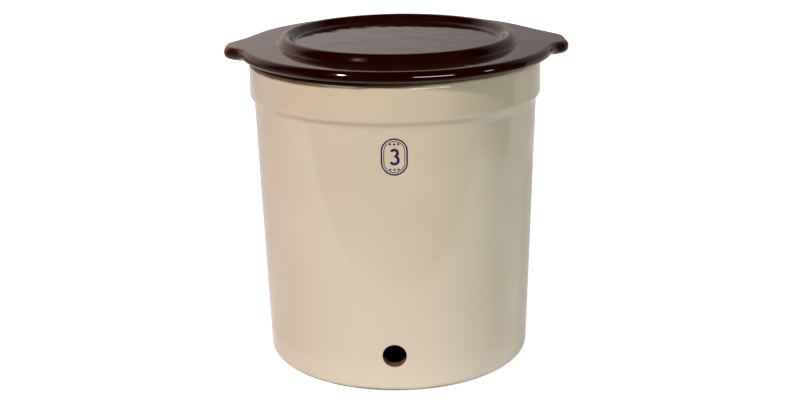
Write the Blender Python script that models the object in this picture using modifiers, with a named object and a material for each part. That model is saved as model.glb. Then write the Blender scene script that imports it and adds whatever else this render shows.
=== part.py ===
"""Stoneware beverage crock with a loose lid.

Units are metres and +Z is up. The crock stands on Z = 0 with its axis on the Z axis,
and its spigot hole faces -Y. The lid is a separate piece that rests on the rim and lifts straight off.
"""

import math

import bmesh
import bpy

# Crock, outside
RIM_HEIGHT = 0.2907
WALL_TOP_RADIUS = 0.1330
COLLAR_PROJECTION = 0.0040
COLLAR_DRAFT = 0.0005
COLLAR_HEIGHT = 0.0322
COLLAR_STEP_HEIGHT = 0.0105
COLLAR_EDGE_ROUNDING = 0.0052
BASE_RADIUS = 0.1260
BASE_CORNER_RADIUS = 0.0080

# Crock, inside and underneath
WALL_THICKNESS = 0.0120
FLOOR_THICKNESS = 0.0110
FLOOR_CORNER_RADIUS = 0.0120
RIM_OUTER_ROUNDING = 0.0055
RIM_INNER_ROUNDING = 0.0040
FOOT_RING_WIDTH = 0.0150
FOOT_RECESS_DEPTH = 0.0030

# Spigot hole
SPIGOT_HOLE_DIAMETER = 0.0220
SPIGOT_HOLE_HEIGHT = 0.0369

# Lid plate and its two lugs
SEAT_GAP = 0.0003
LID_OVERHANG = 0.0102
PLATE_THICKNESS = 0.0114
PLATE_EDGE_ROUNDING = 0.0042
LUG_PROJECTION = 0.0143
LUG_END_WIDTH = 0.0160
LUG_CORNER_RADIUS = 0.0180
LUG_ROOT_RADIUS = 0.0280

# How the lid is set down: a little turned and off centre, within the play of its ring
LID_TURN = math.radians(3.7)
LID_SHIFT_X = 0.0017
LID_SHIFT_Y = 0.0009

# Raised bead and centre of the lid
PLATE_MARGIN = 0.0400
BEAD_HEIGHT = 0.0079
BEAD_SHOULDER_RADIUS = 0.0063
BEAD_SIDE_LEAN = math.radians(18)
BEAD_FOOT_FILLET = 0.0016
BEAD_INNER_WIDTH = 0.0125
CENTRE_RISE = 0.0014

# Locating ring under the lid
RING_PLAY = 0.0040
RING_DEPTH = 0.0090
RING_THICKNESS = 0.0090
RING_ROUNDING = 0.0025

# Modelling values
TURN_STEPS = 96
HOLE_STEPS = 32
ARC_STEP_DEGREES = 22.5
JOIN_DEPTH = 0.0030
FILLET_BITE = 0.0002
CUT_MARGIN = 0.0200
WELD_DISTANCE = 0.00001
SHARP_ANGLE = math.radians(35)

# Values that follow from the ones above
COLLAR_LOW_HEIGHT = RIM_HEIGHT - COLLAR_HEIGHT
WALL_TOP_HEIGHT = COLLAR_LOW_HEIGHT - COLLAR_STEP_HEIGHT
MOUTH_RADIUS = WALL_TOP_RADIUS - WALL_THICKNESS
COLLAR_LOW_RADIUS = WALL_TOP_RADIUS + COLLAR_PROJECTION
RIM_RADIUS = COLLAR_LOW_RADIUS - COLLAR_DRAFT
FLOOR_HEIGHT = FOOT_RECESS_DEPTH + FLOOR_THICKNESS
LID_SEAT_HEIGHT = RIM_HEIGHT + SEAT_GAP
PLATE_RADIUS = RIM_RADIUS + LID_OVERHANG
LUG_REACH = PLATE_RADIUS + LUG_PROJECTION
BEAD_CREST_RADIUS = PLATE_RADIUS - PLATE_MARGIN
CENTRE_RADIUS = BEAD_CREST_RADIUS - BEAD_INNER_WIDTH


def clear_scene():
    for old in list(bpy.data.objects):
        bpy.data.objects.remove(old)


def new_collection(name, hidden=False):
    collection = bpy.data.collections.new(name)
    bpy.context.scene.collection.children.link(collection)
    collection.hide_render = hidden
    return collection


def new_material(name, colour, roughness):
    material = bpy.data.materials.new(name)
    material.use_nodes = True
    shader = material.node_tree.nodes["Principled BSDF"]
    shader.inputs["Base Color"].default_value = (*colour, 1.0)
    shader.inputs["Roughness"].default_value = roughness
    shader.inputs["Metallic"].default_value = 0.0
    material.diffuse_color = (*colour, 1.0)
    return material


def round_arc(centre, radius, start, end):
    """Points on an arc about centre, from start to end in degrees, both ends included."""
    steps = max(2, round(abs(end - start) / ARC_STEP_DEGREES))
    angles = [math.radians(start + (end - start) * i / steps) for i in range(steps + 1)]
    return [(centre[0] + radius * math.cos(a), centre[1] + radius * math.sin(a)) for a in angles]


def turned(name, profile, collection):
    """A solid of revolution about Z. The profile is (radius, height) points, outer side top to bottom."""
    mesh = bpy.data.meshes.new(name)
    edges = [(i, i + 1) for i in range(len(profile) - 1)]
    if profile[0][0] > 0:
        edges.append((len(profile) - 1, 0))
    mesh.from_pydata([(radius, 0.0, height) for radius, height in profile], edges, [])
    piece = bpy.data.objects.new(name, mesh)
    collection.objects.link(piece)
    screw = piece.modifiers.new("Turn", "SCREW")
    screw.axis = "Z"
    screw.steps = TURN_STEPS
    screw.render_steps = TURN_STEPS
    screw.use_merge_vertices = True
    screw.merge_threshold = WELD_DISTANCE
    return piece


def helper(piece):
    """Marks a piece that only cuts or joins another."""
    piece.hide_render = True
    piece.display_type = "WIRE"
    return piece


def join_or_cut(piece, other, operation):
    boolean = piece.modifiers.new(operation.capitalize() + "_" + other.name, "BOOLEAN")
    boolean.operation = operation
    boolean.solver = "EXACT"
    boolean.object = other


def finish(piece, material):
    """Applies the modifiers, so that the piece can be shaded smooth with its real edges sharp."""
    bpy.context.view_layer.update()
    graph = bpy.context.evaluated_depsgraph_get()
    mesh = bpy.data.meshes.new_from_object(piece.evaluated_get(graph))
    mesh.name = piece.name
    piece.modifiers.clear()
    piece.data = mesh
    mesh.materials.clear()
    mesh.materials.append(material)
    mesh.shade_smooth()
    mesh.set_sharp_from_angle(angle=SHARP_ANGLE)


def wall_radius(height):
    """Outer radius of the tapered wall at a height."""
    return BASE_RADIUS + (WALL_TOP_RADIUS - BASE_RADIUS) * height / WALL_TOP_HEIGHT


def inner_radius(height):
    """Inner radius of the tapered wall at a height, up to the mouth."""
    return min(MOUTH_RADIUS, wall_radius(height) - WALL_THICKNESS)


def crock_profile():
    floor_corner = (inner_radius(FLOOR_HEIGHT) - FLOOR_CORNER_RADIUS, FLOOR_HEIGHT + FLOOR_CORNER_RADIUS)
    rim_inside = (MOUTH_RADIUS + RIM_INNER_ROUNDING, RIM_HEIGHT - RIM_INNER_ROUNDING)
    rim_outside = (RIM_RADIUS - RIM_OUTER_ROUNDING, RIM_HEIGHT - RIM_OUTER_ROUNDING)
    base_corner = (wall_radius(BASE_CORNER_RADIUS) - BASE_CORNER_RADIUS, BASE_CORNER_RADIUS)
    foot_inside = base_corner[0] - FOOT_RING_WIDTH

    inside = [(0.0, FLOOR_HEIGHT)]
    inside += round_arc(floor_corner, FLOOR_CORNER_RADIUS, -90, 0)
    inside.append((MOUTH_RADIUS, WALL_TOP_HEIGHT))
    rim = round_arc(rim_inside, RIM_INNER_ROUNDING, 180, 90)
    rim += round_arc(rim_outside, RIM_OUTER_ROUNDING, 90, 0)
    base = round_arc(base_corner, BASE_CORNER_RADIUS, 0, -90)
    underside = [
        (foot_inside, 0.0),
        (foot_inside - FOOT_RECESS_DEPTH, FOOT_RECESS_DEPTH),
        (0.0, FOOT_RECESS_DEPTH),
    ]
    return inside + rim + collar_underside() + base + underside


def collar_underside():
    """The collar's lower edge: a round shoulder, then a hollow that leads smoothly into the wall."""
    sweep = 2 * math.atan2(COLLAR_PROJECTION, COLLAR_STEP_HEIGHT)
    hollow_radius = COLLAR_STEP_HEIGHT / math.sin(sweep) - COLLAR_EDGE_ROUNDING
    degrees = math.degrees(sweep)
    shoulder_centre = (COLLAR_LOW_RADIUS - COLLAR_EDGE_ROUNDING, COLLAR_LOW_HEIGHT)
    hollow_centre = (WALL_TOP_RADIUS + hollow_radius, WALL_TOP_HEIGHT)
    shoulder = round_arc(shoulder_centre, COLLAR_EDGE_ROUNDING, 0, -degrees)
    hollow = round_arc(hollow_centre, hollow_radius, 180 - degrees, 180)
    return shoulder + hollow[1:]


def spigot_hole_cutter(collection):
    """A cylinder along Y that passes the front wall only."""
    outer = wall_radius(SPIGOT_HOLE_HEIGHT) + CUT_MARGIN
    inner = inner_radius(SPIGOT_HOLE_HEIGHT) - CUT_MARGIN
    mesh = bpy.data.meshes.new("spigot_hole_cutter")
    shape = bmesh.new()
    radius = SPIGOT_HOLE_DIAMETER / 2
    bmesh.ops.create_cone(
        shape, cap_ends=True, segments=HOLE_STEPS, radius1=radius, radius2=radius, depth=outer - inner
    )
    shape.to_mesh(mesh)
    shape.free()
    cutter = bpy.data.objects.new("spigot_hole_cutter", mesh)
    collection.objects.link(cutter)
    cutter.rotation_euler.x = math.pi / 2
    cutter.location = (0.0, -(outer + inner) / 2, SPIGOT_HOLE_HEIGHT)
    return helper(cutter)


def lug_quarter():
    """Outline of the plate from the middle of the +X lug to the +Y side."""
    corner = (LUG_REACH - LUG_CORNER_RADIUS, LUG_END_WIDTH / 2)
    reach = math.hypot(*corner)
    to_plate = PLATE_RADIUS + LUG_ROOT_RADIUS
    to_corner = LUG_CORNER_RADIUS + LUG_ROOT_RADIUS
    along = (to_plate**2 - to_corner**2 + reach**2) / (2 * reach)
    across = math.sqrt(to_plate**2 - along**2)
    root_angle = math.atan2(corner[1], corner[0]) + math.atan2(across, along)
    root = (to_plate * math.cos(root_angle), to_plate * math.sin(root_angle))
    touch = math.degrees(math.atan2(root[1] - corner[1], root[0] - corner[0]))
    root_degrees = math.degrees(root_angle)

    points = round_arc(corner, LUG_CORNER_RADIUS, 0, touch)
    points += round_arc(root, LUG_ROOT_RADIUS, touch - 180, root_degrees - 180)[1:]
    steps = math.ceil((90 - root_degrees) / (360 / TURN_STEPS))
    for i in range(1, steps + 1):
        angle = math.radians(root_degrees + (90 - root_degrees) * i / steps)
        points.append((PLATE_RADIUS * math.cos(angle), PLATE_RADIUS * math.sin(angle)))
    return points


def plate_outline():
    """The whole outline, anticlockwise: one quarter mirrored across both axes."""
    quarter = lug_quarter()
    half = quarter + [(-x, y) for x, y in reversed(quarter[:-1])]
    return half + [(x, -y) for x, y in reversed(half)]


def lid_plate(collection):
    """The flat plate with its two lugs, its upper and lower edges rounded."""
    mesh = bpy.data.meshes.new("lid")
    shape = bmesh.new()
    face = shape.faces.new([shape.verts.new((x, y, 0.0)) for x, y in plate_outline()])
    walls = bmesh.ops.extrude_face_region(shape, geom=[face])
    lifted = [item for item in walls["geom"] if isinstance(item, bmesh.types.BMVert)]
    bmesh.ops.translate(shape, verts=lifted, vec=(0.0, 0.0, PLATE_THICKNESS))
    bmesh.ops.recalc_face_normals(shape, faces=shape.faces)
    shape.to_mesh(mesh)
    shape.free()
    plate = bpy.data.objects.new("lid", mesh)
    collection.objects.link(plate)
    bevel = plate.modifiers.new("Edge", "BEVEL")
    bevel.width = PLATE_EDGE_ROUNDING
    bevel.segments = 4
    bevel.limit_method = "ANGLE"
    bevel.angle_limit = math.radians(60)
    return plate


def ogee(start, end):
    """Two equal arcs that lead smoothly from a level crest down to a level floor nearer the axis."""
    run = start[0] - end[0]
    drop = start[1] - end[1]
    sweep = 2 * math.atan2(drop, run)
    radius = run / (2 * math.sin(sweep))
    degrees = math.degrees(sweep)
    floor_side = round_arc((end[0], end[1] + radius), radius, -90, -90 + degrees)
    crest_side = round_arc((start[0], start[1] - radius), radius, 90 + degrees, 90)
    return floor_side + crest_side[1:]


def bead_and_centre(collection):
    """The raised bead with the flat centre inside it, sunk a little way into the plate."""
    crest = (BEAD_CREST_RADIUS, PLATE_THICKNESS + BEAD_HEIGHT)
    centre = (CENTRE_RADIUS, PLATE_THICKNESS + CENTRE_RISE)
    radii = BEAD_SHOULDER_RADIUS + BEAD_FOOT_FILLET
    side_height = BEAD_HEIGHT - radii * (1 - math.sin(BEAD_SIDE_LEAN))
    fillet_out = radii * math.cos(BEAD_SIDE_LEAN) + side_height * math.tan(BEAD_SIDE_LEAN)
    shoulder = (BEAD_CREST_RADIUS, crest[1] - BEAD_SHOULDER_RADIUS)
    fillet = (BEAD_CREST_RADIUS + fillet_out, PLATE_THICKNESS + BEAD_FOOT_FILLET - FILLET_BITE)
    lean = math.degrees(BEAD_SIDE_LEAN)
    profile = [(0.0, centre[1])] + ogee(crest, centre)
    profile += round_arc(shoulder, BEAD_SHOULDER_RADIUS, 90, lean)[1:]
    profile += round_arc(fillet, BEAD_FOOT_FILLET, 180 + lean, 270)
    profile += [(fillet[0], PLATE_THICKNESS - JOIN_DEPTH), (0.0, PLATE_THICKNESS - JOIN_DEPTH)]
    return helper(turned("lid_bead", profile, collection))


def locating_ring(collection):
    """The ring under the lid that keeps it centred in the mouth."""
    outer = MOUTH_RADIUS - RING_PLAY
    inner = outer - RING_THICKNESS
    outer_corner = (outer - RING_ROUNDING, RING_ROUNDING - RING_DEPTH)
    inner_corner = (inner + RING_ROUNDING, RING_ROUNDING - RING_DEPTH)
    profile = [(inner, JOIN_DEPTH), (outer, JOIN_DEPTH)]
    profile += round_arc(outer_corner, RING_ROUNDING, 0, -90)
    profile += round_arc(inner_corner, RING_ROUNDING, -90, -180)
    return helper(turned("lid_locating_ring", profile, collection))


def build():
    clear_scene()
    parts = new_collection("beverage_crock")
    helpers = new_collection("cutters_and_joiners", hidden=True)

    crock = turned("crock_body", crock_profile(), parts)
    join_or_cut(crock, spigot_hole_cutter(helpers), "DIFFERENCE")
    finish(crock, new_material("cream_glaze", (0.66, 0.56, 0.42), 0.15))

    lid = lid_plate(parts)
    join_or_cut(lid, bead_and_centre(helpers), "UNION")
    join_or_cut(lid, locating_ring(helpers), "UNION")
    finish(lid, new_material("brown_glaze", (0.040, 0.012, 0.006), 0.10))
    lid.location = (LID_SHIFT_X, LID_SHIFT_Y, LID_SEAT_HEIGHT)
    lid.rotation_euler.z = LID_TURN


build()
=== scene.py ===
import math

import bmesh
import bpy
from mathutils import Matrix, Vector, noise

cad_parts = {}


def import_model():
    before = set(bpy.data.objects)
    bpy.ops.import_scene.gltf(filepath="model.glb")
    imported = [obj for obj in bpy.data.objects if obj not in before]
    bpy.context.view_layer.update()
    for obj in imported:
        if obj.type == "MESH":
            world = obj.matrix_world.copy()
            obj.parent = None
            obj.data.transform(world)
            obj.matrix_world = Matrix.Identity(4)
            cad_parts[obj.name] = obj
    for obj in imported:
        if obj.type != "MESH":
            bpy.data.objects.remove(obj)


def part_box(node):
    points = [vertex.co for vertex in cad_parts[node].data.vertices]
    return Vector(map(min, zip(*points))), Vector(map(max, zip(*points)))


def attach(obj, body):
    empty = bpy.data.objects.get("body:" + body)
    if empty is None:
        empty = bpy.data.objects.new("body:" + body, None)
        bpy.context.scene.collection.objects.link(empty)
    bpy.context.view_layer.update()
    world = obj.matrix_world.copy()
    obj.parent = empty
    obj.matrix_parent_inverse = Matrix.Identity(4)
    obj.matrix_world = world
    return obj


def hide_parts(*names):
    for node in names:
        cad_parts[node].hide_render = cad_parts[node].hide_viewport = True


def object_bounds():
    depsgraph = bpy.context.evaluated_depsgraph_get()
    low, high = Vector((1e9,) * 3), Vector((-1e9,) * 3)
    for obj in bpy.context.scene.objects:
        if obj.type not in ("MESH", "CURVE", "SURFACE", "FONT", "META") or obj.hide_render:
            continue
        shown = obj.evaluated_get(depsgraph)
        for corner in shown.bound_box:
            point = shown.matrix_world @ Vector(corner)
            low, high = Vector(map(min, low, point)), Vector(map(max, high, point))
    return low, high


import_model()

# Everything is in metres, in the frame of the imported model: +Z up, the spigot hole faces -Y.
CAD_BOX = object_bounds()
CROCK_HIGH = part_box("crock_body")[1]
LID_LOW, LID_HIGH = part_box("lid")

# Crock, outside
RIM_HEIGHT = CROCK_HIGH.z
COLLAR_RADIUS = CROCK_HIGH.x
COLLAR_PROJECTION = 0.0040
COLLAR_DRAFT = 0.0005
COLLAR_LOW_HEIGHT = RIM_HEIGHT - 0.0322
COLLAR_STEP_HEIGHT = 0.0105
COLLAR_EDGE_ROUNDING = 0.0052
RIM_RADIUS = COLLAR_RADIUS - COLLAR_DRAFT
WALL_TOP_RADIUS = COLLAR_RADIUS - COLLAR_PROJECTION
BASE_RADIUS = 0.1260
BASE_CORNER_RADIUS = 0.0080

# Crock, inside and underneath
WALL_THICKNESS = 0.0120
FLOOR_THICKNESS = 0.0110
FLOOR_CORNER_RADIUS = 0.0120
RIM_OUTER_ROUNDING = 0.0055
RIM_INNER_ROUNDING = 0.0040
FOOT_RING_WIDTH = 0.0150
FOOT_RECESS_DEPTH = 0.0030
FOOT_EDGE_ROUNDING = 0.0010

# Spigot hole
HOLE_RADIUS = 0.0110
HOLE_HEIGHT = 0.0369
HOLE_LIP_RADIUS = 0.0009
HOLE_PATCH = 0.0200
HOLE_PATCH_ROWS = 16
HOLE_PATCH_COLUMNS = 16
HOLE_PATCH_RINGS = 7
HOLE_LIP_RINGS = 4
HOLE_BORE_RINGS = 6

# Lid plate and its two lugs
LID_SEAT_HEIGHT = RIM_HEIGHT + 0.0003
PLATE_RADIUS = RIM_RADIUS + 0.0102
PLATE_THICKNESS = 0.0114
PLATE_TOP_ROUNDING = 0.0050
PLATE_LOW_ROUNDING = 0.0046
PLATE_LOW_RISE = 0.0013
PLATE_SEAT_INSET = 0.0105
LUG_REACH = PLATE_RADIUS + 0.0140
LUG_CORNER_RADIUS = 0.0180
LUG_EDGE_BLEND = 0.0040
# Half width of the lug's end and radius of the hollow beside it: no two corners of the hand finished lugs
# are alike.
LUG_CORNERS = {
    "right back": (0.0118, 0.6000),
    "left back": (0.0036, 0.1600),
    "left front": (0.0080, 0.0280),
    "right front": (0.0104, 0.0280),
}

# How the lid is set down
LID_TURN = math.radians(3.7)
LID_SHIFT = Vector((0.0017, 0.0009, 0.0))

# Raised bead and centre of the lid
BEAD_CREST_RADIUS = PLATE_RADIUS - 0.0414
BEAD_HEIGHT = LID_HIGH.z - LID_SEAT_HEIGHT - PLATE_THICKNESS
BEAD_SHOULDER_RADIUS = 0.0052
BEAD_FOOT_FILLET = 0.0024
BEAD_SIDE_DEGREES = 24.7
BEAD_SHIFT = 0.0010
CENTRE_RADIUS = BEAD_CREST_RADIUS - 0.0111
CENTRE_RISE = 0.0014

# Locating ring under the lid
RING_OUTER_RADIUS = WALL_TOP_RADIUS - WALL_THICKNESS - 0.0040
RING_INNER_RADIUS = RING_OUTER_RADIUS - 0.0090
RING_DEPTH = LID_SEAT_HEIGHT - LID_LOW.z
RING_ROUNDING = 0.0025
RING_FILLET = 0.0015

# Mesh fineness
TURN_COLUMNS = 288
ROW_STEP = 0.0028
ARC_DEGREES = 9.0
SAME_POINT = 1e-6

# Unevenness of hand finished ware
WALL_WOBBLE = 0.00016
WALL_WOBBLE_SIZE = 0.070
WALL_WOBBLE_STRETCH = 0.6
LID_WAVE = 0.00013
LID_WAVE_SIZE = 0.028

# Capacity mark on the wall: two round ended outlines, a plain numeral, and dots above and below it
MARK_TURN = math.radians(1.2)
MARK_HEIGHT = 0.2256
MARK_HALF_WIDTH = 0.0118
MARK_HALF_HEIGHT = 0.0168
MARK_LINE = 0.0014
MARK_THIN_LINE = 0.0007
MARK_LINE_GAP = 0.0010
MARK_PROUD = 0.00005
MARK_SUNK = 0.00020
NUMERAL_UPPER_RADIUS = 0.0029
NUMERAL_LOWER_RADIUS = 0.0035
NUMERAL_HALF_STROKE = 0.0012
NUMERAL_OPENING_DEGREES = 155
DOT_RADIUS = 0.0010
DOT_SPACING = 0.0036
DOT_OFFSET = 0.0114
DOT_END_DEGREES = 81

# Camera, as the photograph was taken
CAMERA_DISTANCE = 1.26874
CAMERA_HEIGHT = 0.53808
CAMERA_TURN = math.radians(1.93)
CAMERA_YAW = math.radians(-0.1342)
CAMERA_PITCH = math.radians(17.174)
CAMERA_ROLL = math.radians(-0.8535)
CAMERA_FOCAL_PIXELS = 1367.3
IMAGE_WIDTH = 800
SENSOR_WIDTH = 36.0

# Worked out from the sizes above
WALL_TOP_HEIGHT = COLLAR_LOW_HEIGHT - COLLAR_STEP_HEIGHT
MOUTH_RADIUS = WALL_TOP_RADIUS - WALL_THICKNESS
FLOOR_HEIGHT = FOOT_RECESS_DEPTH + FLOOR_THICKNESS

# Colours of glaze, clay and ink, and of the light and shade painted on them
CREAM = (0.630, 0.515, 0.375)
CREAM_WARM = (0.600, 0.485, 0.345)
CREAM_GREY = (0.580, 0.500, 0.375)
# Paler cream low down: painted light, for light bounced off the floor.
CREAM_PAINTED_BOUNCE = (0.645, 0.535, 0.405)
# The collar's colours are painted shade and light: darker overall, paler at the lit left end, greyer right of
# the middle.
CREAM_COLLAR_PAINTED_DARKER = (0.579, 0.461, 0.318)
CREAM_COLLAR_PAINTED_SHADE = (0.526, 0.418, 0.286)
CREAM_COLLAR_PAINTED_LIGHT = (0.690, 0.592, 0.485)
COLLAR_SHADING_SHARE = 0.8
SPECK = (0.300, 0.200, 0.110)
BROWN = (0.0114, 0.0003, 0.0001)
# Redder brown where the glaze runs thin. On the lid's downward faces it is painted light.
BROWN_REDDER = (0.0440, 0.0120, 0.0025)
# Paler brown on the lid's level faces: painted light from above.
BROWN_LEVEL_PAINTED_LIGHT = (0.0240, 0.0062, 0.0010)
BROWN_RIM = (0.1000, 0.0550, 0.0170)
# Much lighter brown in the spigot hole's bore: painted light.
BROWN_BORE_PAINTED_LIGHT = (0.2000, 0.1080, 0.0440)
BARE_CLAY = (0.560, 0.390, 0.270)
BARE_CLAY_DARK = (0.460, 0.310, 0.210)
INK = (0.0100, 0.0060, 0.0620)
INK_THIN = (0.0450, 0.0330, 0.1150)

# Finish: the two ends between which a glaze's roughness drifts, and the heights of the relief
WALL_ROUGHNESS = (0.07, 0.13)
LID_ROUGHNESS = (0.05, 0.10)
LAP_ROUGHNESS = 0.35
CLAY_ROUGHNESS = 0.85
LID_GLAZE_IOR = 1.42
BUMP_DISTANCE = 0.001
WALL_WAVES = 0.00016
THROWN_LINES = 0.00006
GLAZE_SKIN = 0.000003
LID_WAVES = 0.00050
LID_RIPPLES = 0.00006
CLAY_GRAIN = 0.00012
SPECK_SCALE = 85.0

# Where one shade or glaze gives way to the next: the two ends of each change, and how far an edge wavers
# The first four pairs set where painted light and shade on the cream change.
BOUNCE_LIGHT_HEIGHTS = (0.02, 0.18)
COLLAR_LIT_LEFT_END = (-0.132, -0.085)
COLLAR_SHADE_START = (0.045, 0.068)
COLLAR_SHADE_END = (0.078, 0.112)
LAP_HEIGHTS = (RIM_HEIGHT - 0.0050, RIM_HEIGHT - 0.0030)
LAP_ASKEW = (-0.0022, 0.0010)
LAP_WAVER = 0.0018
RIM_BROWN_HEIGHTS = (RIM_HEIGHT - 0.0026, RIM_HEIGHT - 0.0006)
MOUTH_EDGE_RADII = (MOUTH_RADIUS + 0.0022, MOUTH_RADIUS + 0.0034)
MOUTH_EDGE_WAVER = 0.0030
BROWN_DEPTHS = (0.0003, 0.0011)
BROWN_EDGE_WAVER = 0.0016
BORE_END_DEPTHS = (WALL_THICKNESS - 0.0018, WALL_THICKNESS - 0.0004)
BORE_TOP_HEIGHTS = (HOLE_HEIGHT + HOLE_RADIUS + 0.001, HOLE_HEIGHT + HOLE_RADIUS + 0.002)
FOOT_BARE_HEIGHTS = (0.0021, 0.0027)
FOOT_EDGE_WAVER = 0.0014
LEFT_LUG_THIN = (-0.150, -0.110)
RIGHT_LUG_THIN = (0.105, 0.135)
RING_BARE_HEIGHTS = (LID_LOW.z + 0.0014, LID_LOW.z + 0.0019)
RING_EDGE_WAVER = 0.0012

# Studio
WHITE = (1.0, 1.0, 1.0)
FLOOR_RADIUS = 6.0
FLOOR_PALE = (0.78, 0.81, 0.85)
FLOOR_DARK = (0.34, 0.28, 0.22)
FLOOR_GLOW = (0.36, 0.32, 0.28)
FLOOR_GLOW_DARK = (0.09, 0.06, 0.04)
SWEEP_LEFT = (0.680, 0.455, 0.405)
SWEEP_RIGHT = (0.485, 0.430, 0.410)
STUDIO_DARK = (0.004, 0.004, 0.004)
AMBIENT = (0.93, 1.0, 0.97)
AMBIENT_STRENGTH = 0.05
LAMP_TARGET = Vector((0.0, 0.0, 0.16))
KEY_COLOUR = (1.0, 0.92, 0.92)
STRIP_COLOUR = (0.80, 0.94, 1.0)
SIDE_COLOUR = (1.0, 0.86, 0.60)
FILL_COLOUR = (1.0, 0.97, 0.93)
CARD_COLOUR = (0.03, 0.03, 0.03)
CARD_GLOW = (1.0, 0.50, 0.32)
CARD_CORNERS = [(-1.30, 0.00), (-1.30, -0.36), (0.75, -0.36), (0.75, 0.12)]
CARD_HEIGHT = 0.3


def round_arc(centre, radius, start, end):
    """Points on an arc about centre, from start to end in degrees, both ends included."""
    steps = max(2, math.ceil(abs(end - start) / ARC_DEGREES))
    angles = [math.radians(start + (end - start) * i / steps) for i in range(steps + 1)]
    return [(centre[0] + radius * math.cos(a), centre[1] + radius * math.sin(a)) for a in angles]


def straight(start, end):
    """Points between start and end, both left out, about one step apart."""
    count = math.ceil(math.dist(start, end) / ROW_STEP)
    return [tuple(a + (b - a) * i / count for a, b in zip(start, end)) for i in range(1, count)]


def joined(*stretches):
    """One list of points from several stretches, with a straight run of points wherever two don't meet."""
    points = list(stretches[0])
    for stretch in stretches[1:]:
        if math.dist(points[-1], stretch[0]) > SAME_POINT:
            points += straight(points[-1], stretch[0])
            points += stretch
        else:
            points += stretch[1:]
    return points


def ogee(start, end):
    """Two equal arcs that lead smoothly from a level crest down to a level floor nearer the axis."""
    run = start[0] - end[0]
    drop = start[1] - end[1]
    sweep = 2 * math.atan2(drop, run)
    radius = run / (2 * math.sin(sweep))
    degrees = math.degrees(sweep)
    floor_side = round_arc((end[0], end[1] + radius), radius, -90, -90 + degrees)
    crest_side = round_arc((start[0], start[1] - radius), radius, 90 + degrees, 90)
    return floor_side + crest_side[1:]


def wall_radius(height):
    """Outer radius of the tapered wall at a height."""
    return BASE_RADIUS + (WALL_TOP_RADIUS - BASE_RADIUS) * height / WALL_TOP_HEIGHT


FLOOR_CORNER = (
    wall_radius(FLOOR_HEIGHT) - WALL_THICKNESS - FLOOR_CORNER_RADIUS,
    FLOOR_HEIGHT + FLOOR_CORNER_RADIUS,
)


def inner_radius(height):
    """Inner radius of the wall at a height, with the round corner above the floor."""
    if height >= FLOOR_CORNER[1]:
        return min(MOUTH_RADIUS, wall_radius(height) - WALL_THICKNESS)
    below = FLOOR_CORNER[1] - height
    return FLOOR_CORNER[0] + math.sqrt(FLOOR_CORNER_RADIUS**2 - below**2)


def hole_levels():
    """Heights of the rows of faces that the patch round the hole takes up."""
    steps = [2 * i / HOLE_PATCH_ROWS - 1 for i in range(HOLE_PATCH_ROWS + 1)]
    return [HOLE_HEIGHT + HOLE_PATCH * step for step in steps]


def collar_underside():
    """The collar's lower edge: a round shoulder, then a hollow that leads smoothly into the wall."""
    sweep = 2 * math.atan2(COLLAR_PROJECTION, COLLAR_STEP_HEIGHT)
    hollow_radius = COLLAR_STEP_HEIGHT / math.sin(sweep) - COLLAR_EDGE_ROUNDING
    degrees = math.degrees(sweep)
    shoulder_centre = (COLLAR_RADIUS - COLLAR_EDGE_ROUNDING, COLLAR_LOW_HEIGHT)
    hollow_centre = (WALL_TOP_RADIUS + hollow_radius, WALL_TOP_HEIGHT)
    shoulder = round_arc(shoulder_centre, COLLAR_EDGE_ROUNDING, 0, -degrees)
    hollow = round_arc(hollow_centre, hollow_radius, 180 - degrees, 180)
    return shoulder + hollow[1:]


def crock_profile():
    """The closed profile from the middle of the floor, up and round to the middle of the foot.

    Also gives the indexes of the lowest inner row and the highest outer row of the hole's patch.
    """
    levels = hole_levels()
    rim_inside = (MOUTH_RADIUS + RIM_INNER_ROUNDING, RIM_HEIGHT - RIM_INNER_ROUNDING)
    rim_outside = (RIM_RADIUS - RIM_OUTER_ROUNDING, RIM_HEIGHT - RIM_OUTER_ROUNDING)
    base_corner = (wall_radius(BASE_CORNER_RADIUS) - BASE_CORNER_RADIUS, BASE_CORNER_RADIUS)
    foot_inside = base_corner[0] - FOOT_RING_WIDTH

    below = math.degrees(math.asin((FLOOR_CORNER[1] - levels[0]) / FLOOR_CORNER_RADIUS))
    floor = joined([(0.0, FLOOR_HEIGHT)], round_arc(FLOOR_CORNER, FLOOR_CORNER_RADIUS, -90, -below))
    inner_patch = [(inner_radius(z), z) for z in levels]
    rim = joined(
        [(MOUTH_RADIUS, WALL_TOP_HEIGHT)],
        round_arc(rim_inside, RIM_INNER_ROUNDING, 180, 90),
        round_arc(rim_outside, RIM_OUTER_ROUNDING, 90, 0),
    )
    outer_patch = [(wall_radius(z), z) for z in reversed(levels)]
    base = joined(
        round_arc(base_corner, BASE_CORNER_RADIUS, 0, -90),
        round_arc((foot_inside, FOOT_EDGE_ROUNDING), FOOT_EDGE_ROUNDING, -90, -150),
        [(foot_inside - FOOT_RECESS_DEPTH, FOOT_RECESS_DEPTH)],
        [(0.0, FOOT_RECESS_DEPTH)],
    )
    up_to_patch = joined(floor, inner_patch)
    down_to_patch = joined(up_to_patch, rim, collar_underside(), outer_patch)
    inner_first = len(up_to_patch) - len(levels)
    outer_first = len(down_to_patch) - len(levels)
    return joined(down_to_patch, base), inner_first, outer_first


def fill_grid(shape, rows, skip=()):
    """Faces between neighbouring rows of vertices that close round the axis. A row of one is a pole."""
    for index in range(len(rows) - 1):
        low = rows[index]
        high = rows[index + 1]
        count = max(len(low), len(high))
        for column in range(count):
            after = (column + 1) % count
            if (index, column) in skip:
                continue
            if len(low) == 1:
                shape.faces.new((low[0], high[column], high[after]))
            elif len(high) == 1:
                shape.faces.new((low[column], low[after], high[0]))
            else:
                shape.faces.new((low[column], low[after], high[after], high[column]))


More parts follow.
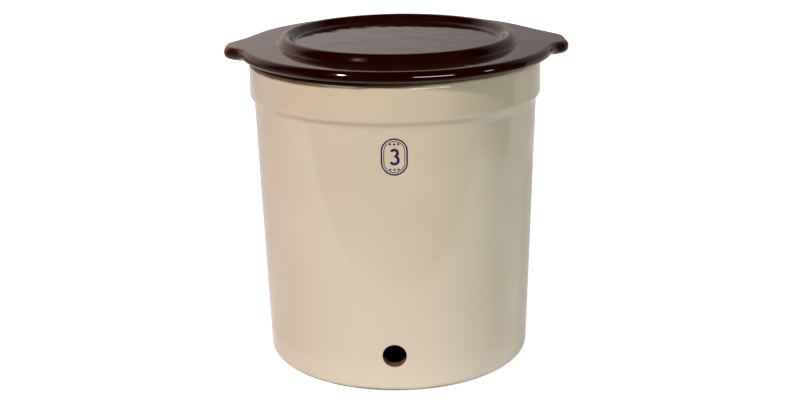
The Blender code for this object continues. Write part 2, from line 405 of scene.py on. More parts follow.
def fill_ring(shape, outer, inner):
    """Faces between two closed loops of the same number of vertices."""
    for i in range(len(outer)):
        after = (i + 1) % len(outer)
        shape.faces.new((outer[i], outer[after], inner[after], inner[i]))


def finished_object(name, shape, material):
    """Turns the bmesh into a smooth shaded object in the scene, its faces pointing outwards."""
    bmesh.ops.recalc_face_normals(shape, faces=shape.faces)
    mesh = bpy.data.meshes.new(name)
    shape.to_mesh(mesh)
    shape.free()
    mesh.shade_smooth()
    mesh.materials.append(material)
    piece = bpy.data.objects.new(name, mesh)
    bpy.context.scene.collection.objects.link(piece)
    return piece


def on_wall(radius_at, x, z, inwards=0.0):
    """The point of the front wall at x and z, moved some way along +Y."""
    return Vector((x, inwards - math.sqrt(radius_at(z) ** 2 - x**2), z))


def patch_border(rows, first):
    """The vertices round the patch: along its first row, down one side, back and up the other."""
    half = HOLE_PATCH_COLUMNS // 2
    last = first + HOLE_PATCH_ROWS
    border = [rows[first][column] for column in range(-half, half)]
    border += [rows[row][half] for row in range(first, last)]
    border += [rows[last][column] for column in range(half, -half, -1)]
    border += [rows[row][-half] for row in range(last, first, -1)]
    return border


def pierce(shape, border, radius_at, inwards, angles):
    """Rings of faces from the patch's border to the hole's rounded lip. Gives the lip's last ring."""
    lip = HOLE_RADIUS + HOLE_LIP_RADIUS
    ring = border
    for i in range(1, HOLE_PATCH_RINGS + 1):
        share = i / HOLE_PATCH_RINGS
        following = []
        for vertex, angle in zip(border, angles):
            x = vertex.co.x + (lip * math.cos(angle) - vertex.co.x) * share
            z = vertex.co.z + (HOLE_HEIGHT + lip * math.sin(angle) - vertex.co.z) * share
            following.append(shape.verts.new(on_wall(radius_at, x, z)))
        fill_ring(shape, ring, following)
        ring = following
    for i in range(1, HOLE_LIP_RINGS + 1):
        bend = math.radians(90 * i / HOLE_LIP_RINGS)
        radius = lip - HOLE_LIP_RADIUS * math.sin(bend)
        depth = HOLE_LIP_RADIUS * (1 - math.cos(bend))
        following = []
        for angle in angles:
            x = radius * math.cos(angle)
            z = HOLE_HEIGHT + radius * math.sin(angle)
            following.append(shape.verts.new(on_wall(radius_at, x, z, inwards * depth)))
        fill_ring(shape, ring, following)
        ring = following
    return ring


def match_border(border, angles):
    """The border turned so that its first vertex lies at the first angle round the hole."""
    found = [math.atan2(v.co.z - HOLE_HEIGHT, v.co.x) for v in border]
    gaps = [abs(math.remainder(angle - angles[0], 2 * math.pi)) for angle in found]
    start = gaps.index(min(gaps))
    return border[start:] + border[:start]


def wobble(vertex):
    """Draws a point of the wall in by a hair, as hand finished ware is never quite round."""
    x, y, z = vertex.co
    ripple = noise.noise(Vector((x, y, WALL_WOBBLE_STRETCH * z)) / WALL_WOBBLE_SIZE)
    scale = 1 - WALL_WOBBLE * (0.5 + 0.5 * ripple) / COLLAR_RADIUS
    vertex.co = (x * scale, y * scale, z)


def crock(material):
    """The crock, turned, with its spigot hole opened through the front wall."""
    profile, inner_first, outer_first = crock_profile()
    shape = bmesh.new()
    rows = []
    for radius, height in profile:
        if radius < SAME_POINT:
            rows.append([shape.verts.new((0.0, 0.0, height))])
            continue
        row = []
        for column in range(TURN_COLUMNS):
            angle = 2 * math.pi * column / TURN_COLUMNS - math.pi / 2
            row.append(shape.verts.new((radius * math.cos(angle), radius * math.sin(angle), height)))
        rows.append(row)

    half = HOLE_PATCH_COLUMNS // 2
    skip = set()
    for first in (inner_first, outer_first):
        for row in range(first, first + HOLE_PATCH_ROWS):
            skip |= {(row, column % TURN_COLUMNS) for column in range(-half, half)}
    fill_grid(shape, rows, skip)

    outer_border = patch_border(rows, outer_first)
    angles = [math.atan2(v.co.z - HOLE_HEIGHT, v.co.x) for v in outer_border]
    # The outer rows run downwards and the inner ones upwards, so the inner border is turned over.
    inner_border = match_border(patch_border(rows, inner_first)[::-1], angles)
    outer_lip = pierce(shape, outer_border, wall_radius, 1.0, angles)
    inner_lip = pierce(shape, inner_border, inner_radius, -1.0, angles)
    ring = outer_lip
    for i in range(1, HOLE_BORE_RINGS):
        share = i / HOLE_BORE_RINGS
        following = [shape.verts.new(a.co.lerp(b.co, share)) for a, b in zip(outer_lip, inner_lip)]
        fill_ring(shape, ring, following)
        ring = following
    fill_ring(shape, ring, inner_lip)

    for vertex in shape.verts:
        wobble(vertex)
    return finished_object("crock_glazed", shape, material)


def ink_strip(shape, pairs, closed=False):
    """A thin solid laid on the wall between pairs of points, each point (across, above the mark's middle)."""
    loops = []
    for near, far in pairs:
        corners = ((near, MARK_PROUD), (far, MARK_PROUD), (far, -MARK_SUNK), (near, -MARK_SUNK))
        loop = []
        for (across, above), out in corners:
            radius = wall_radius(MARK_HEIGHT + above) + out
            angle = MARK_TURN + across / radius - math.pi / 2
            place = (radius * math.cos(angle), radius * math.sin(angle), MARK_HEIGHT + above)
            loop.append(shape.verts.new(place))
        loops.append(loop)
    for loop, following in zip(loops, loops[1:] + loops[:1] if closed else loops[1:]):
        fill_ring(shape, loop, following)
    if not closed:
        shape.faces.new(loops[0])
        shape.faces.new(loops[-1])


def round_ended(inset):
    """The mark's upright outline with round ends, drawn in by inset."""
    radius = MARK_HALF_WIDTH - inset
    centre = MARK_HALF_HEIGHT - MARK_HALF_WIDTH
    upper = round_arc((0.0, centre), radius, 0, 180)
    lower = round_arc((0.0, -centre), radius, 180, 360)
    side = centre * 0.5
    left = [(-radius, side), (-radius, 0.0), (-radius, -side)]
    right = [(radius, -side), (radius, 0.0), (radius, side)]
    return upper + left + lower + right


def numeral_bowl(radius, upwards):
    """One round half of the numeral, cut off level at its middle. upwards is 1 above it and -1 below."""
    pairs = []
    for x, y in round_arc((0.0, 0.0), 1.0, NUMERAL_OPENING_DEGREES, -90):
        inner = radius - NUMERAL_HALF_STROKE
        outer = radius + NUMERAL_HALF_STROKE
        if y < 0:
            outer = min(outer, -radius / y)
        pairs.append([(reach * x, upwards * (radius + reach * y)) for reach in (inner, outer)])
    return pairs


def capacity_mark(material):
    """The mark: two round ended outlines, the numeral in the middle, and three dots above and below it."""
    shape = bmesh.new()
    thin_inset = MARK_LINE + MARK_LINE_GAP
    for inset, line in ((0.0, MARK_LINE), (thin_inset, MARK_THIN_LINE)):
        ink_strip(shape, list(zip(round_ended(inset), round_ended(inset + line))), closed=True)
    middle = NUMERAL_LOWER_RADIUS - NUMERAL_UPPER_RADIUS
    for radius, upwards in ((NUMERAL_UPPER_RADIUS, 1), (NUMERAL_LOWER_RADIUS, -1)):
        pairs = numeral_bowl(radius, upwards)
        ink_strip(shape, [[(x, z + middle) for x, z in pair] for pair in pairs])
    for column in (-1, 0, 1):
        for offset in (-DOT_OFFSET, DOT_OFFSET):
            slices = round_arc((0.0, 0.0), DOT_RADIUS, -DOT_END_DEGREES, DOT_END_DEGREES)
            centre = column * DOT_SPACING
            ink_strip(shape, [[(centre - x, z + offset), (centre + x, z + offset)] for x, z in slices])
    for vertex in shape.verts:
        wobble(vertex)
    return finished_object("capacity_mark", shape, material)


def lug_quarter(inset, name):
    """Outline of the plate from the middle of a lug to the plate's side, drawn in by inset all round."""
    half_width, root_radius = LUG_CORNERS[name]
    corner = (LUG_REACH - LUG_CORNER_RADIUS, half_width)
    reach = math.hypot(*corner)
    to_plate = PLATE_RADIUS + root_radius
    to_corner = LUG_CORNER_RADIUS + root_radius
    along = (to_plate**2 - to_corner**2 + reach**2) / (2 * reach)
    across = math.sqrt(to_plate**2 - along**2)
    root_angle = math.atan2(corner[1], corner[0]) + math.atan2(across, along)
    root = (to_plate * math.cos(root_angle), to_plate * math.sin(root_angle))
    touch = math.degrees(math.atan2(root[1] - corner[1], root[0] - corner[0]))
    root_degrees = math.degrees(root_angle)

    points = [(LUG_REACH - inset, half_width * share) for share in (0.0, 0.5)]
    points += round_arc(corner, LUG_CORNER_RADIUS - inset, 0, touch)
    points += round_arc(root, root_radius + inset, touch - 180, root_degrees - 180)[1:]
    steps = math.ceil((90 - root_degrees) / (360 / TURN_COLUMNS))
    for i in range(1, steps + 1):
        angle = math.radians(root_degrees + (90 - root_degrees) * i / steps)
        points.append(((PLATE_RADIUS - inset) * math.cos(angle), (PLATE_RADIUS - inset) * math.sin(angle)))
    return points


def plate_outline(inset):
    """The whole outline, anticlockwise from the middle of the right lug's end."""
    back = lug_quarter(inset, "right back")
    back += [(-x, y) for x, y in reversed(lug_quarter(inset, "left back")[:-1])]
    front = [(-x, -y) for x, y in lug_quarter(inset, "left front")[1:]]
    front += [(x, -y) for x, y in reversed(lug_quarter(inset, "right front")[1:-1])]
    return back + front


def lid_top_profile():
    """(radius, height) over the plate's lower face, from the middle out to the foot of the bead.

    The bead's outer side leans in: it faces BEAD_SIDE_DEGREES above the level.
    """
    crest = (BEAD_CREST_RADIUS, PLATE_THICKNESS + BEAD_HEIGHT)
    centre = (CENTRE_RADIUS, PLATE_THICKNESS + CENTRE_RISE)
    lean = math.radians(BEAD_SIDE_DEGREES)
    radii = BEAD_SHOULDER_RADIUS + BEAD_FOOT_FILLET
    side_height = BEAD_HEIGHT - radii * (1 - math.sin(lean))
    fillet_out = radii * math.cos(lean) + side_height * math.tan(lean)
    shoulder = (BEAD_CREST_RADIUS, crest[1] - BEAD_SHOULDER_RADIUS)
    fillet = (BEAD_CREST_RADIUS + fillet_out, PLATE_THICKNESS + BEAD_FOOT_FILLET)
    return joined(
        [(0.0, centre[1])],
        ogee(crest, centre),
        round_arc(shoulder, BEAD_SHOULDER_RADIUS, 90, BEAD_SIDE_DEGREES),
        round_arc(fillet, BEAD_FOOT_FILLET, 180 + BEAD_SIDE_DEGREES, 270),
    )


def lid_under_profile():
    """(radius, height) of the underside, from outside the locating ring in to the middle."""
    outer_fillet = (RING_OUTER_RADIUS + RING_FILLET, -RING_FILLET)
    inner_fillet = (RING_INNER_RADIUS - RING_FILLET, -RING_FILLET)
    outer_corner = (RING_OUTER_RADIUS - RING_ROUNDING, RING_ROUNDING - RING_DEPTH)
    inner_corner = (RING_INNER_RADIUS + RING_ROUNDING, RING_ROUNDING - RING_DEPTH)
    return joined(
        round_arc(outer_fillet, RING_FILLET, 90, 180),
        round_arc(outer_corner, RING_ROUNDING, 0, -90),
        round_arc(inner_corner, RING_ROUNDING, -90, -180),
        round_arc(inner_fillet, RING_FILLET, 0, 90),
        [(0.0, 0.0)],
    )


def lid_edge():
    """(inset, height) round the plate's edge, from its upper face to its lower one."""
    return joined(
        round_arc((PLATE_TOP_ROUNDING, PLATE_THICKNESS - PLATE_TOP_ROUNDING), PLATE_TOP_ROUNDING, 90, 180),
        round_arc((PLATE_LOW_ROUNDING, PLATE_LOW_ROUNDING), PLATE_LOW_ROUNDING, 180, 270),
        [(PLATE_SEAT_INSET, 0.0)],
    )


def edge_row(inset, height):
    """A row of points round the plate. Between the lugs its lower edge curls up a little."""
    low = max(0.0, 1 - 2 * height / PLATE_THICKNESS)
    outer = max(0.0, 1 - inset / PLATE_SEAT_INSET)
    rise = PLATE_LOW_RISE * low * min(1.0, 2 * outer)
    row = []
    for x, y in plate_outline(inset):
        past_plate = math.hypot(x, y) + inset - PLATE_RADIUS
        on_lug = min(1.0, max(0.0, past_plate / LUG_EDGE_BLEND))
        row.append((x, y, height + rise * (1 - on_lug)))
    return row


def circle_row(radius, height, directions):
    """A level row of points, one in each direction from the axis. On the axis it is a single point."""
    if radius < SAME_POINT:
        return [(0.0, 0.0, height)]
    return [(radius * x, radius * y, height) for x, y in directions]


def blended_rows(first, last):
    """Rows between two rows of points, both left out, about one step apart."""
    widest = max(math.dist(a, b) for a, b in zip(first, last))
    count = math.ceil(widest / ROW_STEP)
    rows = []
    for i in range(1, count):
        share = i / count
        rows.append([tuple(Vector(a).lerp(Vector(b), share)) for a, b in zip(first, last)])
    return rows


def lid(material):
    """The lid: a plate with two lugs and rounded edges, a raised bead, and a locating ring beneath."""
    directions = [tuple(Vector(point).normalized()) for point in plate_outline(PLATE_LOW_ROUNDING)]
    top = [circle_row(radius, height, directions) for radius, height in lid_top_profile()]
    top = [[(x + BEAD_SHIFT, y, z) for x, y, z in row] for row in top]
    edge = [edge_row(inset, height) for inset, height in lid_edge()]
    under = [circle_row(radius, height, directions) for radius, height in lid_under_profile()]
    rows = top + blended_rows(top[-1], edge[0]) + edge + blended_rows(edge[-1], under[0]) + under

    shape = bmesh.new()
    fill_grid(shape, [[shape.verts.new(point) for point in row] for row in rows])
    for vertex in shape.verts:
        if vertex.co.z > 0:
            ripple = noise.noise(vertex.co / LID_WAVE_SIZE)
            vertex.co.z -= LID_WAVE * (0.5 + 0.5 * ripple) * vertex.co.z / PLATE_THICKNESS
    seat = LID_SHIFT + Vector((0.0, 0.0, LID_SEAT_HEIGHT))
    shape.transform(Matrix.Translation(seat) @ Matrix.Rotation(LID_TURN, 4, "Z"))
    return finished_object("lid_glazed", shape, material)


def node(tree, kind, inputs=None, **settings):
    """Adds a shader node. An input given as a socket is linked, and any other is set as a value."""
    made = tree.nodes.new("ShaderNode" + kind)
    for name, value in settings.items():
        setattr(made, name, value)
    for socket, value in (inputs or {}).items():
        if isinstance(value, bpy.types.NodeSocket):
            tree.links.new(value, made.inputs[socket])
        else:
            made.inputs[socket].default_value = value
    return made


def maths(tree, operation, first, second=0.0, third=0.0):
    """A sum on one, two or three numbers."""
    return node(tree, "Math", {0: first, 1: second, 2: third}, operation=operation).outputs[0]


def ramp(tree, value, low, high, to_low=0.0, to_high=1.0):
    """value taken smoothly from low and high to to_low and to_high."""
    made = node(
        tree,
        "MapRange",
        {"Value": value, "From Min": low, "From Max": high, "To Min": to_low, "To Max": to_high},
        interpolation_type="SMOOTHSTEP",
    )
    return made.outputs["Result"]


def mixed(tree, share, first, second):
    """Colour first, taken by share to colour second."""
    made = node(tree, "Mix", {"Factor": share}, data_type="RGBA")
    for socket, colour in ((made.inputs[6], first), (made.inputs[7], second)):
        if isinstance(colour, bpy.types.NodeSocket):
            tree.links.new(colour, socket)
        else:
            socket.default_value = (*colour, 1.0)
    return made.outputs[2]


def noise_of(tree, place, scale, detail=2.0, roughness=0.5):
    """Smooth noise between 0 and 1 with about scale waves to the metre."""
    made = node(tree, "TexNoise", {"Vector": place, "Scale": scale, "Detail": detail, "Roughness": roughness})
    return made.outputs["Fac"]


def radius_of(tree, place):
    """Distance from the crock's axis."""
    flat = node(tree, "VectorMath", {0: place, 1: (1.0, 1.0, 0.0)}, operation="MULTIPLY").outputs[0]
    return node(tree, "VectorMath", {0: flat}, operation="LENGTH").outputs["Value"]


def bump(tree, relief):
    """A bump normal from several (height, metres) pairs added up."""
    total = 0.0
    for height, size in relief:
        total = maths(tree, "MULTIPLY_ADD", height, size / BUMP_DISTANCE, total)
    return node(tree, "Bump", {"Height": total, "Distance": BUMP_DISTANCE}).outputs["Normal"]


def new_material(name):
    """A material with its Principled shader and the place on the object, in metres."""
    material = bpy.data.materials.new(name)
    material.use_nodes = True
    tree = material.node_tree
    shader = tree.nodes["Principled BSDF"]
    place = node(tree, "TexCoord").outputs["Object"]
    return material, tree, shader, place


def gloss_of(tree, place, scale, roughness):
    """The roughness of a glaze that drifts between two values."""
    return ramp(tree, noise_of(tree, place, scale, 3.0), 0.3, 0.8, *roughness)


def wall_relief(tree, place):
    """The slow waves and fine skin of the glaze on the wall."""
    return [(noise_of(tree, place, 22.0, 1.0), WALL_WAVES), (noise_of(tree, place, 420.0, 2.0), GLAZE_SKIN)]


def finish_ware(tree, shader, place, colour, gloss, bare, relief):
    """Sets glaze and bare clay on the shader: the colour, roughness and relief of both."""
    grain = noise_of(tree, place, 700.0, 3.0)
    clay = mixed(tree, ramp(tree, grain, 0.3, 0.7), BARE_CLAY, BARE_CLAY_DARK)
    tree.links.new(mixed(tree, bare, colour, clay), shader.inputs["Base Color"])
    rough = node(tree, "Mix", {"Factor": bare, "A": gloss, "B": CLAY_ROUGHNESS}).outputs["Result"]
    tree.links.new(rough, shader.inputs["Roughness"])
    relief = relief + [(maths(tree, "MULTIPLY", grain, bare), CLAY_GRAIN)]
    tree.links.new(bump(tree, relief), shader.inputs["Normal"])


def cream_colour(tree, place, across, height, on_collar):
    """Cream that drifts a little, with brown specks. Painted light makes it paler low down, and painted shade
    makes the collar darker, paler at its lit left end and greyer right of the middle.
    """
    drift = noise_of(tree, place, 9.0, 3.0, 0.55)
    cloud = noise_of(tree, place, 34.0, 2.0)
    cream = mixed(tree, ramp(tree, drift, 0.35, 0.70), CREAM, CREAM_WARM)
    cream = mixed(tree, ramp(tree, cloud, 0.50, 0.85, 0.0, 0.35), cream, CREAM_GREY)
    # Painted light: the cream is paler low down, where light bounced off the floor falls.
    cream = mixed(tree, ramp(tree, height, *BOUNCE_LIGHT_HEIGHTS, 1.0, 0.0), cream, CREAM_PAINTED_BOUNCE)

    # Painted shade on the collar: darker cream, paler at the lit left end, and greyer where the lid's shade
    # falls right of the middle.
    collar = mixed(tree, ramp(tree, across, *COLLAR_LIT_LEFT_END, 1.0, 0.0), CREAM_COLLAR_PAINTED_DARKER, CREAM_COLLAR_PAINTED_LIGHT)
    past_left = ramp(tree, across, *COLLAR_SHADE_START)
    short_of_right = ramp(tree, across, *COLLAR_SHADE_END, 1.0, 0.0)
    collar = mixed(tree, maths(tree, "MINIMUM", past_left, short_of_right), collar, CREAM_COLLAR_PAINTED_SHADE)
    cream = mixed(tree, maths(tree, "MULTIPLY", on_collar, COLLAR_SHADING_SHARE), cream, collar)

    cells = node(tree, "TexVoronoi", {"Vector": place, "Scale": SPECK_SCALE, "Randomness": 1.0})
    chosen = node(tree, "SeparateColor", {"Color": cells.outputs["Color"]}).outputs["Red"]
    size = ramp(tree, chosen, 0.86, 1.0, 0.0, 0.055)
    speck = ramp(tree, maths(tree, "SUBTRACT", size, cells.outputs["Distance"]), -0.012, 0.020, 0.0, 0.75)
    return mixed(tree, speck, cream, SPECK)


def crock_brown(tree, place, height, behind):
    """The crock's brown glaze, redder in streaks, and painted much lighter in the spigot hole's bore, for the
    light that falls into it.
    """
    streak = noise_of(tree, place, 18.0, 4.0, 0.6)
    brown = mixed(tree, ramp(tree, streak, 0.45, 0.80, 0.0, 0.55), BROWN, BROWN_REDDER)
    # Painted light: the bore is much lighter where light from outside falls into the hole.
    in_bore = ramp(tree, behind, *BORE_END_DEPTHS, 1.0, 0.0)
    low = ramp(tree, height, *BORE_TOP_HEIGHTS, 1.0, 0.0)
    return mixed(tree, maths(tree, "MULTIPLY", in_bore, low), brown, BROWN_BORE_PAINTED_LIGHT)


def brown_cover(tree, height, radius, behind, edge_noise, lapping):
    """How far the brown glaze covers the cream: inside the wall, in the mouth and over the rim."""
    in_wall = ramp(tree, behind, *BROWN_DEPTHS)
    under_rim = ramp(tree, height, WALL_TOP_HEIGHT, WALL_TOP_HEIGHT + 0.004, 1.0, 0.0)
    low_inside = maths(tree, "MULTIPLY", in_wall, under_rim)
    past_mouth = maths(tree, "ADD", radius, maths(tree, "MULTIPLY", edge_noise, MOUTH_EDGE_WAVER))
    in_mouth = ramp(tree, past_mouth, *MOUTH_EDGE_RADII, 1.0, 0.0)
    over_rim = ramp(tree, lapping, *RIM_BROWN_HEIGHTS, 0.0, 0.85)
    return maths(tree, "MAXIMUM", maths(tree, "MAXIMUM", low_inside, in_mouth), over_rim)


def crock_bare(tree, height, radius, edge_noise):
    """Where the crock's clay is bare: on its foot and in the recess under it."""
    lifted = maths(tree, "ADD", height, maths(tree, "MULTIPLY", edge_noise, FOOT_EDGE_WAVER))
    on_foot = ramp(tree, lifted, *FOOT_BARE_HEIGHTS, 1.0, 0.0)
    low = ramp(tree, height, FOOT_RECESS_DEPTH + 0.001, FOOT_RECESS_DEPTH + 0.002, 1.0, 0.0)
    within = ramp(tree, radius, BASE_RADIUS - 0.010, BASE_RADIUS - 0.008, 1.0, 0.0)
    return maths(tree, "MAXIMUM", on_foot, maths(tree, "MULTIPLY", low, within))


def crock_glaze():
    """Cream glaze outside, brown inside, over the rim and in the spigot hole, bare clay under the foot."""
    material, tree, shader, place = new_material("cream_glaze")
    axes = node(tree, "SeparateXYZ", {"Vector": place})
    across = axes.outputs["X"]
    height = axes.outputs["Z"]
    radius = radius_of(tree, place)
    edge_noise = noise_of(tree, place, 60.0, 2.0)
    on_collar = ramp(tree, height, COLLAR_LOW_HEIGHT - 0.004, COLLAR_LOW_HEIGHT + 0.004)

    slope = (WALL_TOP_RADIUS - BASE_RADIUS) / WALL_TOP_HEIGHT
    wall = maths(tree, "MULTIPLY_ADD", height, slope, BASE_RADIUS)
    wavering = maths(tree, "MULTIPLY", edge_noise, BROWN_EDGE_WAVER)
    behind = maths(tree, "SUBTRACT", maths(tree, "SUBTRACT", wall, radius), wavering)

    askew = ramp(tree, across, -0.06, 0.06, *LAP_ASKEW)
    lapping = maths(tree, "SUBTRACT", height, maths(tree, "MULTIPLY_ADD", edge_noise, LAP_WAVER, askew))
    lap = ramp(tree, lapping, *LAP_HEIGHTS)
    cream = mixed(tree, lap, cream_colour(tree, place, across, height, on_collar), BROWN_RIM)
    brown = crock_brown(tree, place, height, behind)
    colour = mixed(tree, brown_cover(tree, height, radius, behind, edge_noise, lapping), cream, brown)

    gloss = maths(tree, "MULTIPLY_ADD", lap, LAP_ROUGHNESS, gloss_of(tree, place, 45.0, WALL_ROUGHNESS))
    upright = node(tree, "VectorMath", {0: place, 1: (1.0, 1.0, 26.0)}, operation="MULTIPLY").outputs[0]
    lines = noise_of(tree, upright, 7.0, 3.0, 0.6)
    lines = maths(tree, "MULTIPLY", lines, maths(tree, "MULTIPLY_ADD", on_collar, 0.75, 0.25))
    relief = wall_relief(tree, place) + [(lines, THROWN_LINES)]
    finish_ware(tree, shader, place, colour, gloss, crock_bare(tree, height, radius, edge_noise), relief)
    return material


def lid_glaze():
    """Dark brown glaze, redder in streaks and towards the lugs where it runs thin, with painted light: paler
    on level faces and redder on the edge's downward faces. Bare clay on the ring's foot.
    """
    material, tree, shader, place = new_material("brown_glaze")
    shader.inputs["IOR"].default_value = LID_GLAZE_IOR
    axes = node(tree, "SeparateXYZ", {"Vector": place})
    across = axes.outputs["X"]
    normal = node(tree, "NewGeometry").outputs["True Normal"]
    facing_up = node(tree, "SeparateXYZ", {"Vector": normal}).outputs["Z"]
    level = ramp(tree, facing_up, 0.980, 0.999)

    at_left = ramp(tree, across, *LEFT_LUG_THIN, 0.45, 0.0)
    at_right = ramp(tree, across, *RIGHT_LUG_THIN, 0.0, 0.35)
    # Painted light bounced up from the floor: the edge's downward faces are redder. Towards the lugs the
    # glaze runs thin.
    low_edge_painted_light = ramp(tree, facing_up, -0.70, -0.10, 0.6, 0.0)
    thin_and_lit_edge = maths(tree, "MAXIMUM", maths(tree, "MAXIMUM", at_left, at_right), low_edge_painted_light)
    thin_and_lit_edge = maths(tree, "SUBTRACT", thin_and_lit_edge, level)
    streak = ramp(tree, noise_of(tree, place, 16.0, 4.0, 0.6), 0.45, 0.80, 0.0, 0.40)
    # Painted light from above: level faces are a paler brown.
    colour = mixed(tree, level, BROWN, BROWN_LEVEL_PAINTED_LIGHT)
    colour = mixed(tree, maths(tree, "MAXIMUM", thin_and_lit_edge, streak), colour, BROWN_REDDER)

    wavering = maths(tree, "MULTIPLY", noise_of(tree, place, 90.0, 2.0), RING_EDGE_WAVER)
    lifted = maths(tree, "ADD", axes.outputs["Z"], wavering)
    bare = ramp(tree, lifted, *RING_BARE_HEIGHTS, 1.0, 0.0)

    settled = maths(tree, "MULTIPLY_ADD", level, 0.88, 0.12)
    in_bead = ramp(tree, radius_of(tree, place), CENTRE_RADIUS, BEAD_CREST_RADIUS, 1.5, 0.5)
    settled = maths(tree, "MULTIPLY", settled, in_bead)
    relief = [
        (maths(tree, "MULTIPLY", noise_of(tree, place, 24.0, 2.0, 0.6), settled), LID_WAVES),
        (maths(tree, "MULTIPLY", noise_of(tree, place, 90.0, 2.0), settled), LID_RIPPLES),
    ]
    finish_ware(tree, shader, place, colour, gloss_of(tree, place, 50.0, LID_ROUGHNESS), bare, relief)
    return material


def mark_ink():
    """Navy ink under the wall's glaze, a little thinner in places."""
    material, tree, shader, place = new_material("navy_ink")
    density = noise_of(tree, place, 420.0, 3.0, 0.6)
    tree.links.new(mixed(tree, ramp(tree, density, 0.50, 0.85), INK, INK_THIN), shader.inputs["Base Color"])
    tree.links.new(gloss_of(tree, place, 45.0, WALL_ROUGHNESS), shader.inputs["Roughness"])
    tree.links.new(bump(tree, wall_relief(tree, place)), shader.inputs["Normal"])
    return material


def floor_material():
    """A plain pale floor that takes the object's soft shadow and reads as white to the camera.

    In reflections it glows a little, and is darker near the object's front and far off to its left.
    """
    material, tree, shader, place = new_material("studio_floor")
    shader.inputs["Roughness"].default_value = 0.9
    shader.inputs["Specular IOR Level"].default_value = 0.0
    path = node(tree, "LightPath")
    mirrored = path.outputs["Is Glossy Ray"]
    axes = node(tree, "SeparateXYZ", {"Vector": place})
    distance = node(tree, "VectorMath", {0: place}, operation="LENGTH").outputs["Value"]

    at_foot = ramp(tree, distance, 0.14, 0.19, 1.0, 0.0)
    away = ramp(tree, distance, 0.22, 0.50)
    behind = ramp(tree, axes.outputs["Y"], -0.12, 0.06)
    pale = maths(tree, "MAXIMUM", maths(tree, "MAXIMUM", away, behind), at_foot)
    pale = maths(tree, "MINIMUM", pale, ramp(tree, axes.outputs["X"], -1.05, -0.70, 0.25, 1.0))
    reflected = mixed(tree, pale, FLOOR_DARK, FLOOR_PALE)
    reflected_glow = mixed(tree, pale, FLOOR_GLOW_DARK, FLOOR_GLOW)
    seen = maths(tree, "MULTIPLY", path.outputs["Is Camera Ray"], ramp(tree, distance, 0.15, 0.60, 0.80, 1.0))
    tree.links.new(mixed(tree, mirrored, FLOOR_PALE, reflected), shader.inputs["Base Color"])
    tree.links.new(mixed(tree, mirrored, WHITE, reflected_glow), shader.inputs["Emission Color"])
    tree.links.new(maths(tree, "ADD", mirrored, seen), shader.inputs["Emission Strength"])
    return material


def floor():
    """The sheet that the object stands on."""
    mesh = bpy.data.meshes.new("floor")
    shape = bmesh.new()
    bmesh.ops.create_circle(shape, cap_ends=True, segments=96, radius=FLOOR_RADIUS)
    shape.to_mesh(mesh)
    shape.free()
    mesh.materials.append(floor_material())
    sheet = bpy.data.objects.new("floor", mesh)
    bpy.context.scene.collection.objects.link(sheet)
    sheet.location.z = CAD_BOX[0].z


def world():
    """White to the camera, soft light on the object, and in reflections a dim studio above a pale sweep."""
    studio = bpy.data.worlds.new("studio")
    studio.use_nodes = True
    bpy.context.scene.world = studio
    tree = studio.node_tree
    tree.nodes.clear()
    path = node(tree, "LightPath")
    direction = node(tree, "TexCoord").outputs["Generated"]
    axes = node(tree, "SeparateXYZ", {"Vector": direction})
    across = axes.outputs["X"]

    low = ramp(tree, axes.outputs["Z"], 0.50, 0.82, 1.0, 0.0)
    behind = ramp(tree, axes.outputs["Y"], 0.10, 0.50)
    sweep = mixed(tree, ramp(tree, across, -0.75, 0.10), SWEEP_LEFT, SWEEP_RIGHT)
    studio_colour = mixed(tree, maths(tree, "MULTIPLY", low, behind), STUDIO_DARK, sweep)
    strength = ramp(tree, across, -0.22, 0.14, 1.40, 0.84)
    reflected = node(tree, "Background", {"Color": studio_colour, "Strength": strength}).outputs[0]
    ambient = node(tree, "Background", {"Color": (*AMBIENT, 1.0), "Strength": AMBIENT_STRENGTH}).outputs[0]
    white = node(tree, "Background", {"Color": (*WHITE, 1.0), "Strength": 1.0}).outputs[0]
    unseen = node(tree, "MixShader", {0: path.outputs["Is Glossy Ray"], 1: ambient, 2: reflected}).outputs[0]
    clear = maths(tree, "MAXIMUM", path.outputs["Is Camera Ray"], path.outputs["Is Transmission Ray"])
    surface = node(tree, "MixShader", {0: clear, 1: unseen, 2: white}).outputs[0]
    node(tree, "OutputWorld", {"Surface": surface})


def softbox(name, azimuth, elevation, distance, size, watts, colour, glossy=True):
    """An area lamp aimed at the crock. Azimuth 0 is on the photograph's side and positive to its right.

    A fill has glossy off: it lights the object softly and leaves no reflection in the glaze.
    """
    data = bpy.data.lights.new(name, "AREA")
    data.shape = "RECTANGLE"
    data.size, data.size_y = size
    data.energy = watts
    data.color = colour
    lamp = bpy.data.objects.new(name, data)
    bpy.context.scene.collection.objects.link(lamp)
    a, e = math.radians(azimuth), math.radians(elevation)
    outwards = Vector((math.sin(a) * math.cos(e), -math.cos(a) * math.cos(e), math.sin(e)))
    lamp.location = LAMP_TARGET + distance * outwards
    lamp.rotation_euler = outwards.to_track_quat("Z", "Y").to_euler()
    lamp.visible_camera = False
    lamp.visible_glossy = glossy


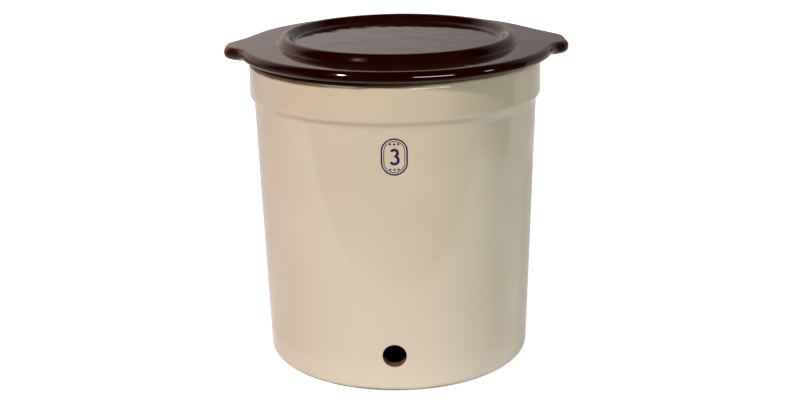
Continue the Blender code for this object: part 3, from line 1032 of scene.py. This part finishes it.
def reflection_card():
    """A dark card round the floor's front, hidden from the camera and casting no shadow: the unlit room past
    the table, seen in reflections and in light bounced onto the object. Towards its left end it glows warm,
    painted light.
    """
    material, tree, shader, place = new_material("dark_card")
    shader.inputs["Base Color"].default_value = (*CARD_COLOUR, 1.0)
    shader.inputs["Roughness"].default_value = 1.0
    across = node(tree, "SeparateXYZ", {"Vector": place}).outputs["X"]
    # Painted light: the card glows warm towards its left end.
    tree.links.new(ramp(tree, across, -1.20, -0.55, 0.30, 0.0), shader.inputs["Emission Strength"])
    shader.inputs["Emission Color"].default_value = (*CARD_GLOW, 1.0)
    mesh = bpy.data.meshes.new("dark_card")
    shape = bmesh.new()
    low = [shape.verts.new((x, y, 0.0)) for x, y in CARD_CORNERS]
    high = [shape.verts.new((x, y, CARD_HEIGHT)) for x, y in CARD_CORNERS]
    for i in range(len(CARD_CORNERS) - 1):
        shape.faces.new((low[i], low[i + 1], high[i + 1], high[i]))
    shape.to_mesh(mesh)
    shape.free()
    mesh.materials.append(material)
    card = bpy.data.objects.new("dark_card", mesh)
    bpy.context.scene.collection.objects.link(card)
    card.visible_camera = False
    card.visible_shadow = False
    card.visible_transmission = False


def camera():
    """The camera, where the photograph was taken from."""
    data = bpy.data.cameras.new("camera")
    data.sensor_fit = "HORIZONTAL"
    data.sensor_width = SENSOR_WIDTH
    data.lens = CAMERA_FOCAL_PIXELS / IMAGE_WIDTH * SENSOR_WIDTH
    data.clip_start = 0.05
    taker = bpy.data.objects.new("camera", data)
    bpy.context.scene.collection.objects.link(taker)
    turn = Matrix.Rotation(CAMERA_TURN, 4, "Z")
    stand = turn @ Matrix.Translation((0.0, -CAMERA_DISTANCE, CAMERA_HEIGHT))
    look = Matrix.Rotation(CAMERA_YAW, 4, "Z") @ Matrix.Rotation(math.pi / 2 - CAMERA_PITCH, 4, "X")
    taker.matrix_world = stand @ look @ Matrix.Rotation(CAMERA_ROLL, 4, "Z")
    bpy.context.scene.camera = taker


camera()

glazed_crock = crock(crock_glaze())
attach(glazed_crock, "crock")
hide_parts("crock_body")

mark = capacity_mark(mark_ink())
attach(mark, "crock")

glazed_lid = lid(lid_glaze())
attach(glazed_lid, "lid")
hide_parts("lid")

floor()
reflection_card()
world()
softbox("key_left", -39, 33, distance=2.0, size=(0.16, 0.16), watts=30.5, colour=KEY_COLOUR)
softbox("strip_right", 27, 7, distance=2.2, size=(1.05, 0.14), watts=24.0, colour=STRIP_COLOUR)
softbox("side_right", 68, 8, distance=2.2, size=(0.25, 0.14), watts=4.6, colour=SIDE_COLOUR)
softbox("fill_back", 180, 35, distance=2.0, size=(1.4, 0.9), watts=11.0, colour=FILL_COLOUR, glossy=False)
bpy.context.scene.view_settings.view_transform = "Standard"
